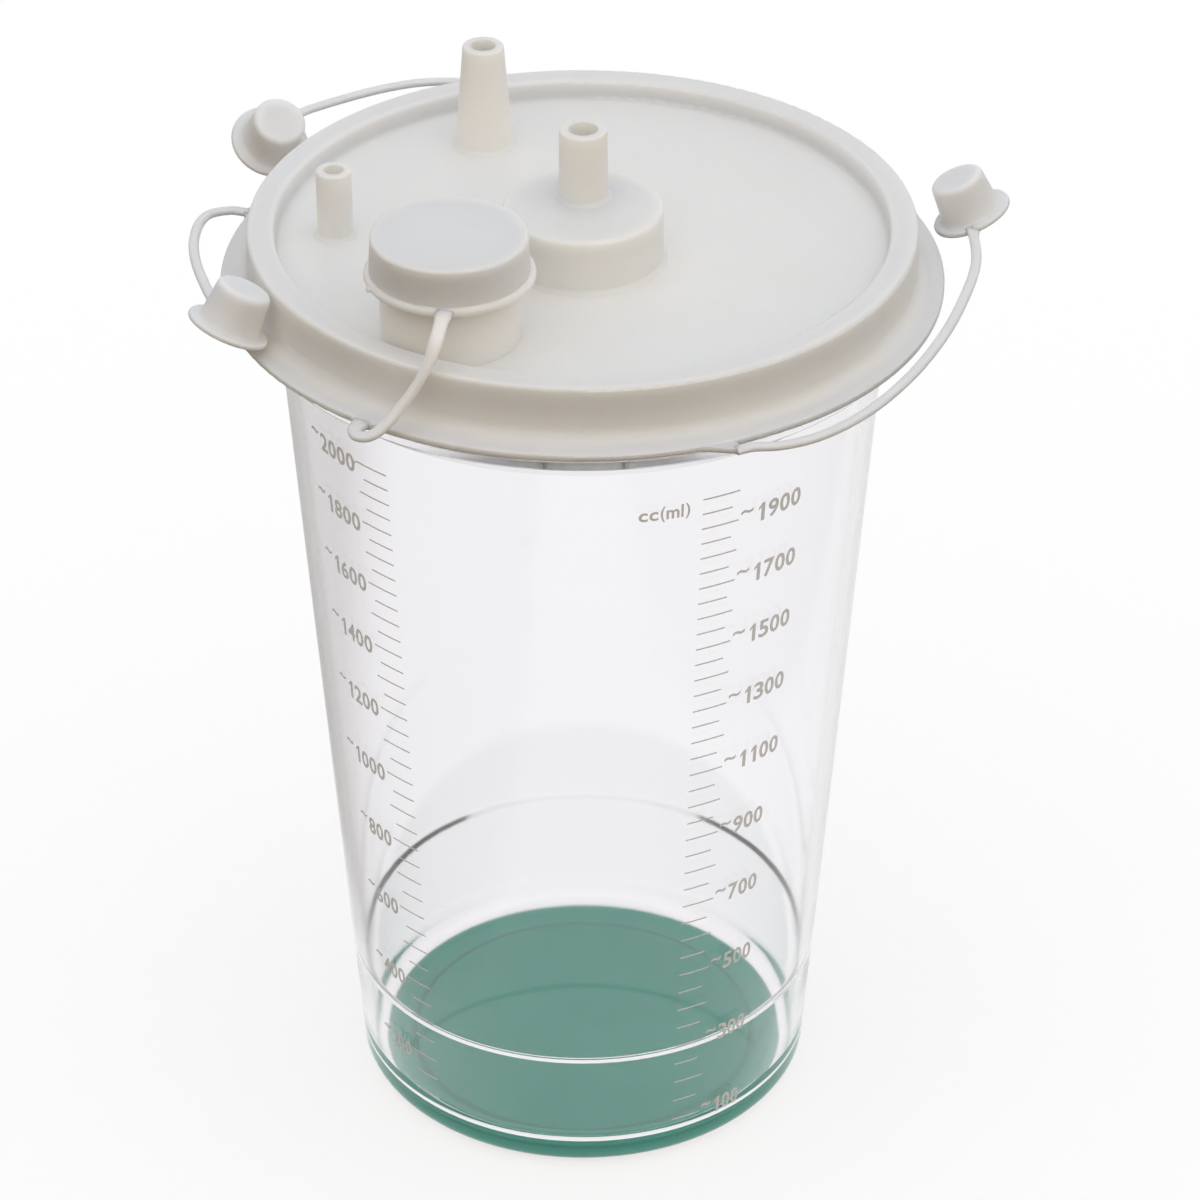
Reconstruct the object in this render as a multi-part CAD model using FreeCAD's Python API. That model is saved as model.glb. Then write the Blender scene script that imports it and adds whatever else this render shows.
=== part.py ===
"""Two litre suction canister: a clear tapered jar with a coated base, a moulded
lid with three hose ports and a capped pouring spout, tethered port caps and a
float valve under the lid. Millimetres, +Z up, origin at the bottom centre."""
import FreeCAD, Part
import math
import os

V = FreeCAD.Vector
UP = V(0, 0, 1)

# Jar
JAR_BASE_R = 52.5            # outer radius where the wall meets the standing plane
JAR_DRAFT = 0.072            # outward run of the wall for each millimetre of height
JAR_WALL = 2.6
JAR_FLOOR = 2.4
JAR_CORNER_R = 4.5
JAR_FLOOR_FILLET = 8.0
FOOT_RECESS = 0.8
FOOT_RECESS_R = 41.0
STACK_Z = 32.5               # height of the inner ring that stops a stacked jar
STACK_STEP = 1.1             # how far that ring stands in from the wall
STACK_HALF = 1.0             # half of its height at the wall
STACK_ROUND = 0.4
SHOULDER_H = 6.0             # height of the inner flare below the ledge
SHOULDER_WALL = 1.3          # wall left at the top of that flare
LEDGE_Z = 202.3              # underside of the outer ledge
LEDGE_T = 2.3
LEDGE_OVERHANG = 2.8         # how far the ledge stands out past the neck
NECK_R = 70.5
NECK_WALL = 2.0
NECK_H = 15.2
NECK_ROUND = 0.7
EDGE_ROUND = 0.4

# Coating on the base
COAT_T = 0.9
COAT_R = 46.0                # its edge stays inside the jar's rounded corner
COAT_ROUND = 0.5

# Lid shell
LID_GAP = 0.3                # clearance between lid and jar neck on every side
LID_WALL = 1.8
RIM_WALL = 2.1               # lid wall outside the neck at the rim
RIM_DRAFT = 0.5              # how far the outer wall runs out on its way down
RIM_ROUND = 0.9
PANEL_DROP = 4.5             # depth of the recessed top panel below the rim
PANEL_WALL_T = 1.5           # inner wall between panel and rim
PANEL_FILLET = 1.0
PLUG_DEPTH = 9.6             # how far the sealing plug reaches below the panel
PLUG_LEAD = 0.3
FLANGE_REACH = 5.6           # how far the flange stands out past the lid's wall
FLANGE_T = 1.6
FLANGE_DROP = 12.3           # top of the flange below the top of the rim
FLANGE_FILLET = 3.4

# Boss that houses the valve, with the middle port on it
BOSS_X = 0.1
BOSS_Y = -8.0
BOSS_R = 17.4
BOSS_H = 12.4
BOSS_WALL = 1.6
BOSS_ROUND = 0.9

# Hose ports: place, height, radii and bore
PORT_B_X = 0.2
PORT_B_Y = -4.0
PORT_B_H = 16.2
PORT_B_BASE_R = 5.35
PORT_B_TIP_R = 5.2
PORT_B_BORE_R = 3.2
PORT_A_X = -22.1
PORT_A_Y = 45.1
PORT_A_H = 24.2
PORT_A_BASE_R = 6.5
PORT_A_TIP_R = 4.6
PORT_A_BORE_R = 2.8
PORT_A_DROP_TUBE = 8.0
PORT_C_X = -53.8
PORT_C_Y = 1.6
PORT_C_H = 15.9
PORT_C_R = 3.9
PORT_C_BORE_R = 2.2
PORT_FLARE = 0.9
PORT_LIP = 0.5

# Pouring spout and its cap
SPOUT_X = -27.7
SPOUT_Y = -42.0
SPOUT_R = 14.85
SPOUT_WALL = 1.8
SPOUT_H = 21.9
CAP_GAP = 0.3                # running clearance between spout and cap
POUR_WALL = 1.45
POUR_TOP_T = 1.6
POUR_H = 8.2                 # cap side above its bead
POUR_BEAD_R = 1.0
POUR_ROUND = 0.7
POUR_NUB = 0.6
POUR_NUB_AZ = 204.0

# Port caps on their tethers
HAT_TIP_R = 5.85
HAT_ROOT_R = 6.75
HAT_H = 10.4
HAT_WALL = 1.25
HAT_BRIM_R = 9.0
HAT_BRIM_T = 1.3
HAT_ROUND = 1.0
STRAP_W = 2.1
STRAP_T = 1.2
STRAP_STATIONS = 14
POUR_STRAP_W = 2.6
POUR_STRAP_STATIONS = 22
ROOT_GAP = 0.35              # slit between a root on the flange and its tether
HORN_REACH = 3.0             # tether centre line past the flange where a horn ends
HORN_SWEEP = 6.0             # degrees of flange that a horn runs along
STUB_REACH = 1.2
STUB_SPREAD = 1.6            # extra width of a stub where it meets the flange

# Float valve under the boss
SEAT_H = 1.5                 # valve seat ring below the boss ceiling
SEAT_WALL = 1.4
SOCKET_WALL = 1.3
SOCKET_H = 9.0
CAGE_R = 9.8
CAGE_WALL = 1.2
CAGE_TOP_GAP = 0.6
CAGE_FLOOR_T = 1.6
CAGE_DRAIN_R = 3.6
CAGE_WINDOWS = 4
CAGE_WINDOW_W = 6.4
CAGE_SILL = 3.0
CAGE_BAND = 1.5              # solid band of the cage below the socket
FLOAT_GAP = 0.45
FLOAT_H = 23.0
FLOAT_NOSE_R = 3.0
FLOAT_TRAVEL = 9.0
FLOAT_STEM_R = 1.6
FLOAT_STEM_H = 3.0
SEAL_R = 6.6
SEAL_T = 1.6
SEAL_CLEAR = 0.3

# Radii and heights that follow from the sizes above
LEDGE_R = NECK_R + LEDGE_OVERHANG
RIM_R = NECK_R + LID_GAP + RIM_WALL
RIM_LOW_R = RIM_R + RIM_DRAFT
FLANGE_R = RIM_LOW_R + FLANGE_REACH
LEDGE_TOP = LEDGE_Z + LEDGE_T
NECK_TOP = LEDGE_TOP + NECK_H
RIM_TOP = NECK_TOP + LID_GAP + LID_WALL
PANEL_TOP = RIM_TOP - PANEL_DROP
PANEL_BOTTOM = PANEL_TOP - LID_WALL
FLANGE_TOP = RIM_TOP - FLANGE_DROP
FLANGE_MID = FLANGE_TOP - FLANGE_T / 2
BOSS_TOP = PANEL_TOP + BOSS_H
BOSS_CEILING = BOSS_TOP - LID_WALL
PLUG_R = NECK_R - NECK_WALL - LID_GAP
PANEL_R = PLUG_R - PANEL_WALL_T
SEAT_Z = BOSS_CEILING - SEAT_H
SOCKET_BOTTOM = BOSS_CEILING - SOCKET_H
SPOUT_TOP = PANEL_TOP + SPOUT_H
POUR_INNER_R = SPOUT_R + CAP_GAP
POUR_R = POUR_INNER_R + POUR_WALL
POUR_CEILING = SPOUT_TOP + CAP_GAP
POUR_TOP = POUR_CEILING + POUR_TOP_T
POUR_BEAD_CENTRE = POUR_R + POUR_BEAD_R / 2
POUR_BEAD_Z = POUR_TOP - POUR_H - POUR_BEAD_R
SEAL_TOP = SEAT_Z - SEAL_CLEAR - FLOAT_TRAVEL
FLOAT_TOP = SEAL_TOP - SEAL_T
FLOAT_BOTTOM = FLOAT_TOP - FLOAT_H
CAGE_FLOOR_TOP = FLOAT_BOTTOM - SEAL_CLEAR
CAGE_BOTTOM = CAGE_FLOOR_TOP - CAGE_FLOOR_T
CAGE_TOP = BOSS_CEILING - CAGE_TOP_GAP


def polar(radius, azimuth, z):
    """Point at a radius and azimuth in degrees about the canister's axis."""
    angle = math.radians(azimuth)
    return V(radius * math.cos(angle), radius * math.sin(angle), z)


def wall_r(z):
    """Outer radius of the jar's drafted wall at a height."""
    return JAR_BASE_R + JAR_DRAFT * z


def turn(points, centre=V(0, 0, 0)):
    """Solid of revolution about the vertical line through centre.

    Each entry is (r, z) or (r, z, fillet), and a fillet rounds that corner."""
    corners = [V(p[0], 0, p[1]) for p in points]
    radii = [p[2] if len(p) > 2 else 0 for p in points]
    edges = []
    count = len(corners)
    starts = []
    ends = []
    arcs = []
    for i in range(count):
        here = corners[i]
        before = (corners[i - 1] - here)
        after = (corners[(i + 1) % count] - here)
        if radii[i] <= 0:
            starts.append(here)
            ends.append(here)
            arcs.append(None)
            continue
        before.normalize()
        after.normalize()
        half = before.getAngle(after) / 2
        run = radii[i] / math.tan(half)
        middle = before + after
        middle.normalize()
        reach = radii[i] / math.sin(half) - radii[i]
        starts.append(here + before * run)
        ends.append(here + after * run)
        arcs.append(here + middle * reach)
    for i in range(count):
        if arcs[i] is not None:
            edges.append(Part.Arc(starts[i], arcs[i], ends[i]).toShape())
        following = starts[(i + 1) % count]
        if (following - ends[i]).Length > 1e-6:
            edges.append(Part.LineSegment(ends[i], following).toShape())
    face = Part.Face(Part.Wire(edges))
    solid = face.revolve(V(0, 0, 0), UP, 360)
    solid.translate(centre)
    return solid


def rod(radius, bottom, top, x=0, y=0):
    """Upright cylinder between two heights."""
    return Part.makeCylinder(radius, top - bottom, V(x, y, bottom))


def bore_r(z):
    """Inner radius of the jar's wall at a height."""
    return wall_r(z) - JAR_WALL


def jar():
    """Clear jar: foot, drafted wall, stacking ring, ledge and neck."""
    foot = COAT_T
    floor = foot + JAR_FLOOR
    ring_top = STACK_Z + STACK_HALF
    ring_low = STACK_Z - STACK_HALF
    flare = LEDGE_Z - SHOULDER_H
    return turn([
        (0, foot + FOOT_RECESS),
        (FOOT_RECESS_R - FOOT_RECESS, foot + FOOT_RECESS),
        (FOOT_RECESS_R, foot),
        (wall_r(foot), foot, JAR_CORNER_R),
        (wall_r(LEDGE_Z), LEDGE_Z, EDGE_ROUND),
        (LEDGE_R, LEDGE_Z, EDGE_ROUND),
        (LEDGE_R, LEDGE_TOP, EDGE_ROUND),
        (NECK_R, LEDGE_TOP),
        (NECK_R, NECK_TOP, NECK_ROUND),
        (NECK_R - NECK_WALL, NECK_TOP, NECK_ROUND),
        (NECK_R - NECK_WALL, LEDGE_TOP, EDGE_ROUND),
        (wall_r(LEDGE_Z) - SHOULDER_WALL, LEDGE_Z),
        (bore_r(flare), flare, SHOULDER_WALL),
        (bore_r(ring_top), ring_top, STACK_ROUND / 2),
        (bore_r(STACK_Z) - STACK_STEP, STACK_Z, STACK_ROUND),
        (bore_r(ring_low), ring_low, STACK_ROUND / 2),
        (bore_r(floor), floor, JAR_FLOOR_FILLET),
        (0, floor),
    ])


def coating():
    """Safety coating under the foot: it fills the foot's recess and is flat below."""
    foot = COAT_T
    return turn([
        (0, foot + FOOT_RECESS),
        (FOOT_RECESS_R - FOOT_RECESS, foot + FOOT_RECESS),
        (FOOT_RECESS_R, foot),
        (COAT_R, foot),
        (COAT_R, 0, COAT_ROUND),
        (0, 0),
    ])


def port(x, y, base, height, base_r, tip_r):
    """Hose port without its bore, flared at the root and eased at the tip."""
    return turn([
        (0, base - LID_WALL / 2),
        (base_r + PORT_FLARE, base - LID_WALL / 2),
        (base_r + PORT_FLARE, base),
        (base_r, base + PORT_FLARE, PORT_FLARE / 2),
        (tip_r, base + height, PORT_LIP),
        (0, base + height),
    ], V(x, y, 0))


def horn(azimuth):
    """Curved root on the flange edge for a tether that leaves along the edge."""
    slit = (STRAP_T / 2 + ROOT_GAP) / (FLANGE_R + HORN_REACH)
    end = azimuth - math.degrees(slit)
    start = end - HORN_SWEEP
    deep = FLANGE_R - FLANGE_FILLET
    toe = polar(FLANGE_R - EDGE_ROUND, start, 0)
    bend = polar(FLANGE_R + HORN_REACH / 2, (start + end) / 2, 0)
    tip_out = polar(FLANGE_R + HORN_REACH + STRAP_W / 2, end, 0)
    tip_in = polar(FLANGE_R + HORN_REACH - STRAP_W / 2, end, 0)
    edges = [
        Part.Arc(toe, bend, tip_out).toShape(),
        Part.LineSegment(tip_out, tip_in).toShape(),
        Part.LineSegment(tip_in, polar(deep, end, 0)).toShape(),
        Part.LineSegment(polar(deep, end, 0), polar(deep, start, 0)).toShape(),
        Part.LineSegment(polar(deep, start, 0), toe).toShape(),
    ]
    solid = Part.Face(Part.Wire(edges)).extrude(V(0, 0, STRAP_T))
    solid.translate(V(0, 0, FLANGE_MID - STRAP_T / 2))
    return solid


def stub(azimuth, width):
    """Short root that points straight out from the flange edge."""
    tip = FLANGE_R + STUB_REACH
    deep = FLANGE_R - FLANGE_FILLET
    wide = width / 2 + STUB_SPREAD
    corners = [V(deep, -wide, 0), V(FLANGE_R, -wide, 0), V(tip, -width / 2, 0),
               V(tip, width / 2, 0), V(FLANGE_R, wide, 0), V(deep, wide, 0)]
    face = Part.Face(Part.makePolygon(corners + corners[:1]))
    solid = face.extrude(V(0, 0, STRAP_T))
    solid.translate(V(0, 0, FLANGE_MID - STRAP_T / 2))
    solid.rotate(V(0, 0, 0), UP, azimuth)
    return solid


def boss():
    """Raised round boss, solid; the lid hollows it from below."""
    return turn([
        (0, PANEL_BOTTOM),
        (BOSS_R + PORT_FLARE, PANEL_BOTTOM),
        (BOSS_R + PORT_FLARE, PANEL_TOP),
        (BOSS_R, PANEL_TOP + PORT_FLARE, PORT_FLARE / 2),
        (BOSS_R, BOSS_TOP, BOSS_ROUND),
        (0, BOSS_TOP),
    ], V(BOSS_X, BOSS_Y, 0))


def spout_neck():
    """Pouring neck without its bore."""
    return turn([
        (0, PANEL_BOTTOM),
        (SPOUT_R, PANEL_BOTTOM),
        (SPOUT_R, SPOUT_TOP, PORT_LIP),
        (0, SPOUT_TOP),
    ], V(SPOUT_X, SPOUT_Y, 0))


def lid_shell():
    """Panel, raised rim, plug and flange of the lid, turned in one profile."""
    wall_in = NECK_R + LID_GAP
    roof = RIM_TOP - LID_WALL
    plug_end = PANEL_BOTTOM - PLUG_DEPTH
    skirt_end = LEDGE_TOP + LID_GAP
    flange_low = FLANGE_TOP - FLANGE_T
    return turn([
        (0, PANEL_BOTTOM),
        (PANEL_R - PANEL_WALL_T, PANEL_BOTTOM, PANEL_FILLET),
        (PANEL_R, plug_end, EDGE_ROUND),
        (PLUG_R - PLUG_LEAD, plug_end, EDGE_ROUND),
        (PLUG_R, PANEL_BOTTOM),
        (PLUG_R, roof, EDGE_ROUND),
        (wall_in, roof, EDGE_ROUND),
        (wall_in, skirt_end, EDGE_ROUND),
        (RIM_LOW_R, skirt_end, EDGE_ROUND),
        (RIM_LOW_R, flange_low, EDGE_ROUND),
        (FLANGE_R, flange_low, EDGE_ROUND),
        (FLANGE_R, FLANGE_TOP, EDGE_ROUND),
        (RIM_LOW_R, FLANGE_TOP, FLANGE_FILLET),
        (RIM_R, RIM_TOP, RIM_ROUND),
        (PANEL_R + EDGE_ROUND, RIM_TOP, RIM_ROUND),
        (PANEL_R, PANEL_TOP, PANEL_FILLET),
        (0, PANEL_TOP),
    ])


def lid():
    """The whole lid moulding with its ports, spout, valve seat and lugs."""
    body = lid_shell().fuse([
        boss(),
        spout_neck(),
        port(PORT_A_X, PORT_A_Y, PANEL_TOP, PORT_A_H, PORT_A_BASE_R, PORT_A_TIP_R),
        port(PORT_B_X, PORT_B_Y, BOSS_TOP, PORT_B_H, PORT_B_BASE_R, PORT_B_TIP_R),
        port(PORT_C_X, PORT_C_Y, PANEL_TOP, PORT_C_H, PORT_C_R, PORT_C_R),
        rod(PORT_A_BORE_R + LID_WALL, PANEL_BOTTOM - PORT_A_DROP_TUBE, PANEL_BOTTOM + LID_WALL / 2,
            PORT_A_X, PORT_A_Y),
    ] + roots())
    hollow = turn([
        (0, PANEL_BOTTOM - LID_WALL),
        (BOSS_R - BOSS_WALL, PANEL_BOTTOM - LID_WALL),
        (BOSS_R - BOSS_WALL, BOSS_CEILING, PANEL_FILLET),
        (0, BOSS_CEILING),
    ], V(BOSS_X, BOSS_Y, 0))
    body = body.cut(hollow)
    seat = rod(PORT_B_BORE_R + SEAT_WALL, SEAT_Z, BOSS_CEILING + LID_WALL / 2, PORT_B_X, PORT_B_Y)
    socket = rod(CAGE_R + SOCKET_WALL, SOCKET_BOTTOM, BOSS_CEILING + LID_WALL / 2,
                 PORT_B_X, PORT_B_Y)
    socket = socket.cut(rod(CAGE_R, SOCKET_BOTTOM, BOSS_CEILING, PORT_B_X, PORT_B_Y))
    body = body.fuse([seat, socket])
    bores = [
        rod(PORT_A_BORE_R, PANEL_BOTTOM - PORT_A_DROP_TUBE, RIM_TOP + PORT_A_H, PORT_A_X, PORT_A_Y),
        rod(PORT_B_BORE_R, SEAT_Z, BOSS_TOP + PORT_B_H, PORT_B_X, PORT_B_Y),
        rod(PORT_C_BORE_R, PANEL_BOTTOM, RIM_TOP + PORT_C_H, PORT_C_X, PORT_C_Y),
        rod(SPOUT_R - SPOUT_WALL, PANEL_BOTTOM, SPOUT_TOP, SPOUT_X, SPOUT_Y),
    ]
    return body.cut(bores)


def pour_cap():
    """Cap of the pouring spout: closed top, plain side and a round bead below."""
    bottom = POUR_BEAD_Z - POUR_BEAD_R
    cap = turn([
        (0, POUR_CEILING),
        (POUR_INNER_R, POUR_CEILING, POUR_ROUND),
        (POUR_INNER_R, bottom, EDGE_ROUND),
        (POUR_R + EDGE_ROUND, bottom, EDGE_ROUND),
        (POUR_R + EDGE_ROUND, POUR_BEAD_Z),
        (POUR_R, POUR_TOP, POUR_ROUND),
        (0, POUR_TOP),
    ], V(SPOUT_X, SPOUT_Y, 0))
    bead = Part.makeTorus(POUR_BEAD_CENTRE, POUR_BEAD_R, V(SPOUT_X, SPOUT_Y, POUR_BEAD_Z))
    bore = rod(POUR_INNER_R, bottom, POUR_BEAD_Z + POUR_BEAD_R, SPOUT_X, SPOUT_Y)
    nub = polar(POUR_BEAD_CENTRE, POUR_NUB_AZ, POUR_BEAD_Z) + V(SPOUT_X, SPOUT_Y, 0)
    outward = polar(1, POUR_NUB_AZ, 0)
    gate = Part.makeCylinder(POUR_NUB, POUR_BEAD_R + POUR_NUB, nub, outward)
    return cap.fuse([bead.cut(bore), gate])


def strap(points, width, stations, round_start=False):
    """Flat tether lofted through sections along a smooth centre line.

    The sections stay level across the strap, and round_start rolls its first
    end about the line on which the strap bends."""
    curve = Part.BSplineCurve()
    curve.interpolate(points)
    first = curve.FirstParameter
    span = curve.LastParameter - first
    sections = []
    for i in range(stations + 1):
        at = first + span * i / stations
        centre = curve.value(at)
        along = curve.tangent(at)[0]
        across = along.cross(UP)
        across.normalize()
        half_w = across * (width / 2)
        half_t = across.cross(along) * (STRAP_T / 2)
        corners = [centre + half_w + half_t, centre - half_w + half_t,
                   centre - half_w - half_t, centre + half_w - half_t]
        sections.append(Part.makePolygon(corners + corners[:1]))
    solid = Part.makeLoft(sections, True, False)
    if round_start:
        across = curve.tangent(first)[0].cross(UP)
        across.normalize()
        end = Part.makeCylinder(STRAP_T / 2, width, points[0] - across * (width / 2), across)
        solid = solid.fuse(end)
    return solid


def hat():
    """Port cap like a top hat, upright with the middle of its mouth at zero."""
    inner_top = HAT_H - HAT_WALL
    return turn([
        (0, inner_top),
        (HAT_TIP_R - HAT_WALL, inner_top, HAT_ROUND / 2),
        (HAT_ROOT_R - HAT_WALL, 0),
        (HAT_BRIM_R, 0, EDGE_ROUND),
        (HAT_BRIM_R, HAT_BRIM_T, EDGE_ROUND),
        (HAT_ROOT_R, HAT_BRIM_T, HAT_ROUND / 2),
        (HAT_TIP_R, HAT_H, HAT_ROUND),
        (0, HAT_H),
    ])


def at_flange(reach, azimuth, rise):
    """Point given by its reach past the flange edge, azimuth and height."""
    return polar(FLANGE_R + reach, azimuth, FLANGE_MID + rise)


# Each tether runs from its root on the flange to its cap. The points are the
# reach past the flange edge, the azimuth and the height above the flange. A
# lean is its angle and the azimuth towards which the closed end leans.
REAR_ROOT_AZ = 92.0
REAR_ROUTE = [(3.0, 93.2, 0), (6.6, 96.6, 0.1), (12.2, 101.5, 0.3), (16.4, 107.5, 0.7),
              (16.8, 112.7, 1.9), (15.2, 119.0, 3.4), (12.6, 128.5, 5.4), (10.6, 136.2, 7.2)]
REAR_CAP = (8.6, 144.2, 5.2)
REAR_LEAN = (35.0, -58.5)
LEFT_ROOT_AZ = 159.7
LEFT_ROUTE = [(4.4, 160.0, 0.1), (7.9, 162.4, 0.5), (8.6, 165.4, 0.9), (7.5, 172.0, 1.5),
              (5.4, 179.7, 2.4), (3.5, 188.5, 3.8), (3.2, 195.0, 5.4)]
LEFT_CAP = (4.4, 205.4, 5.9)
LEFT_LEAN = (26.6, 23.0)
RIGHT_ROOT_AZ = -66.0
RIGHT_ROUTE = [(3.1, -64.8, 0), (5.4, -61.4, 0.2), (6.9, -56.0, 0.4), (6.4, -47.5, 0.6),
               (4.6, -36.0, 0.8), (3.6, -23.0, 1.0), (4.4, -11.0, 1.2), (7.1, 1.0, 1.6)]
RIGHT_CAP = (11.1, 15.2, 1.2)
RIGHT_LEAN = (24.3, 175.0)
POUR_ROOT_AZ = -125.3
POUR_ROUTE = [(3.3, -125.0, 0), (5.0, -123.4, 0.2), (4.7, -121.6, 0.9), (2.3, -120.0, 3.0),
              (-0.2, -118.5, 6.4), (-2.4, -116.8, 10.6), (-4.3, -115.3, 15.4)]

# The pouring cap's tether ends at the bead. These are the reach past the bead's
# centre line, the azimuth about the spout and the height above the bead.
POUR_END = [(6.9, -96.0, -3.5), (2.9, -94.0, -1.0), (0.0, -92.5, 0.4)]


def roots():
    """Roots of the four tethers on the flange edge."""
    return [horn(REAR_ROOT_AZ), horn(RIGHT_ROOT_AZ), stub(LEFT_ROOT_AZ, STRAP_W),
            stub(POUR_ROOT_AZ, POUR_STRAP_W)]


def port_cap(root, route, cap, lean, along_edge):
    """Port cap and the tether it was moulded with.

    The tether ends inside the brim, on the side it comes from."""
    place = at_flange(*cap)
    crown = hat()
    crown.rotate(V(0, 0, 0), polar(1, lean[1] + 90, 0), lean[0])
    crown.translate(place)
    reach = HORN_REACH if along_edge else STUB_REACH + ROOT_GAP
    points = [at_flange(reach, root, 0)] + [at_flange(*stop) for stop in route]
    tilt = math.radians(lean[0])
    normal = polar(math.sin(tilt), lean[1], math.cos(tilt))
    inward = points[-1] - place
    inward = inward - normal * inward.dot(normal)
    inward.normalize()
    points.append(place + inward * (HAT_BRIM_R - HAT_BRIM_T) + normal * (HAT_BRIM_T / 2))
    return crown.fuse(strap(points, STRAP_W, STRAP_STATIONS, along_edge))


def pour_strap():
    """Tether of the pouring cap, from its root up over the rim to the bead."""
    start = at_flange(STUB_REACH + ROOT_GAP, POUR_ROOT_AZ, 0)
    points = [start] + [at_flange(*stop) for stop in POUR_ROUTE]
    spout = V(SPOUT_X, SPOUT_Y, 0)
    for reach, azimuth, rise in POUR_END:
        points.append(spout + polar(POUR_BEAD_CENTRE + reach, azimuth, POUR_BEAD_Z + rise))
    return strap(points, POUR_STRAP_W, POUR_STRAP_STATIONS).cut(pour_cap())


def float_cage():
    """Slotted cage that hangs in the socket under the boss."""
    inner = CAGE_R - CAGE_WALL
    cage = rod(CAGE_R, CAGE_BOTTOM, CAGE_TOP).cut([
        rod(inner, CAGE_FLOOR_TOP, CAGE_TOP),
        rod(CAGE_DRAIN_R, CAGE_BOTTOM, CAGE_FLOOR_TOP),
    ])
    sill = CAGE_FLOOR_TOP + CAGE_SILL
    head = SOCKET_BOTTOM - CAGE_BAND
    windows = []
    for i in range(CAGE_WINDOWS):
        corner = V(inner / 2, -CAGE_WINDOW_W / 2, sill)
        window = Part.makeBox(CAGE_R, CAGE_WINDOW_W, head - sill, corner)
        window.rotate(V(0, 0, 0), UP, 360 * (i + 0.5) / CAGE_WINDOWS)
        windows.append(window)
    cage = cage.cut(windows)
    cage.translate(V(PORT_B_X, PORT_B_Y, 0))
    return cage


def valve_float():
    """Sealed float with a rounded nose and a pin that carries the seal."""
    radius = CAGE_R - CAGE_WALL - FLOAT_GAP
    return turn([
        (0, FLOAT_BOTTOM),
        (radius, FLOAT_BOTTOM, FLOAT_NOSE_R),
        (radius, FLOAT_TOP, HAT_ROUND),
        (FLOAT_STEM_R, FLOAT_TOP),
        (FLOAT_STEM_R, FLOAT_TOP + FLOAT_STEM_H, EDGE_ROUND),
        (0, FLOAT_TOP + FLOAT_STEM_H),
    ], V(PORT_B_X, PORT_B_Y, 0))


def float_seal():
    """Rubber disc on the float that shuts the valve seat."""
    return turn([
        (FLOAT_STEM_R, FLOAT_TOP),
        (SEAL_R, FLOAT_TOP, EDGE_ROUND),
        (SEAL_R, SEAL_TOP, EDGE_ROUND),
        (FLOAT_STEM_R, SEAL_TOP),
    ], V(PORT_B_X, PORT_B_Y, 0))


def parts():
    """Every node of the canister with its solid."""
    return {
        "jar": jar(),
        "base_coating": coating(),
        "lid": lid(),
        "pour_cap": pour_cap(),
        "pour_cap_tether": pour_strap(),
        "port_cap_rear": port_cap(REAR_ROOT_AZ, REAR_ROUTE, REAR_CAP, REAR_LEAN, True),
        "port_cap_left": port_cap(LEFT_ROOT_AZ, LEFT_ROUTE, LEFT_CAP, LEFT_LEAN, False),
        "port_cap_right": port_cap(RIGHT_ROOT_AZ, RIGHT_ROUTE, RIGHT_CAP, RIGHT_LEAN, True),
        "float_cage": float_cage(),
        "valve_float": valve_float(),
        "float_seal": float_seal(),
    }


os.makedirs("parts", exist_ok=True)
for name, shape in parts().items():
    if len(shape.Solids) == 1:
        shape = shape.Solids[0]
    shape.exportStep("parts/" + name + ".step")
    box = shape.BoundBox
    print("%-16s solids %d valid %s volume %.0f  z %.2f to %.2f" % (
        name, len(shape.Solids), shape.isValid(), shape.Volume, box.ZMin, box.ZMax))
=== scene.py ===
"""Clear suction canister: materials, printed scale, camera and light around its CAD frame.

Lengths are in millimetres and angles in degrees, unless a comment says otherwise."""

import math

import bmesh
import bpy
from mathutils import Matrix, Vector

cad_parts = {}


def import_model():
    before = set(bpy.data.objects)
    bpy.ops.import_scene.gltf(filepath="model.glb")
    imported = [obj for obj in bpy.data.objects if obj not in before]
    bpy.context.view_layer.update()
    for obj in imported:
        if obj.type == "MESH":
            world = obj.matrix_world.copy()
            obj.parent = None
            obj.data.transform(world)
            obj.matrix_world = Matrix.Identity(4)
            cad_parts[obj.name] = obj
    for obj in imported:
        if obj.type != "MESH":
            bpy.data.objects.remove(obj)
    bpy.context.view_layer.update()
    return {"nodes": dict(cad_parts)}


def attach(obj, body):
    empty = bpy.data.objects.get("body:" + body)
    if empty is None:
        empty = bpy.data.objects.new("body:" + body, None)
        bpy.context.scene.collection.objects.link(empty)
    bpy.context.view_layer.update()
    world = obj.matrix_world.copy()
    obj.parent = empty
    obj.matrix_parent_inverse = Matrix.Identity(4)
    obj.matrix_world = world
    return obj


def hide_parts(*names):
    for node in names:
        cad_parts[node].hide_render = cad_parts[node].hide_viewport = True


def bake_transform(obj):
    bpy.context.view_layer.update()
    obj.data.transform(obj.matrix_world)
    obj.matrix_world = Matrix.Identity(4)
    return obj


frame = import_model()
nodes = frame["nodes"]


MM = 0.001
scene = bpy.context.scene

# Jar wall, as in the CAD source
JAR_BASE_R = 52.5
JAR_DRAFT = 0.072


def wall_r(z):
    """Outer radius of the jar's wall at a height."""
    return JAR_BASE_R + JAR_DRAFT * z


def polar(radius, azimuth, z):
    """Point in metres from a radius, an azimuth and a height."""
    angle = math.radians(azimuth)
    return Vector((radius * math.cos(angle), radius * math.sin(angle), z)) * MM


def finished(name, mesh, smooth=True):
    """Object from a mesh that is built up."""
    bmesh.ops.recalc_face_normals(mesh, faces=mesh.faces)
    for face in mesh.faces:
        face.smooth = smooth
    data = bpy.data.meshes.new(name)
    mesh.to_mesh(data)
    mesh.free()
    piece = bpy.data.objects.new(name, data)
    scene.collection.objects.link(piece)
    return piece


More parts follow.
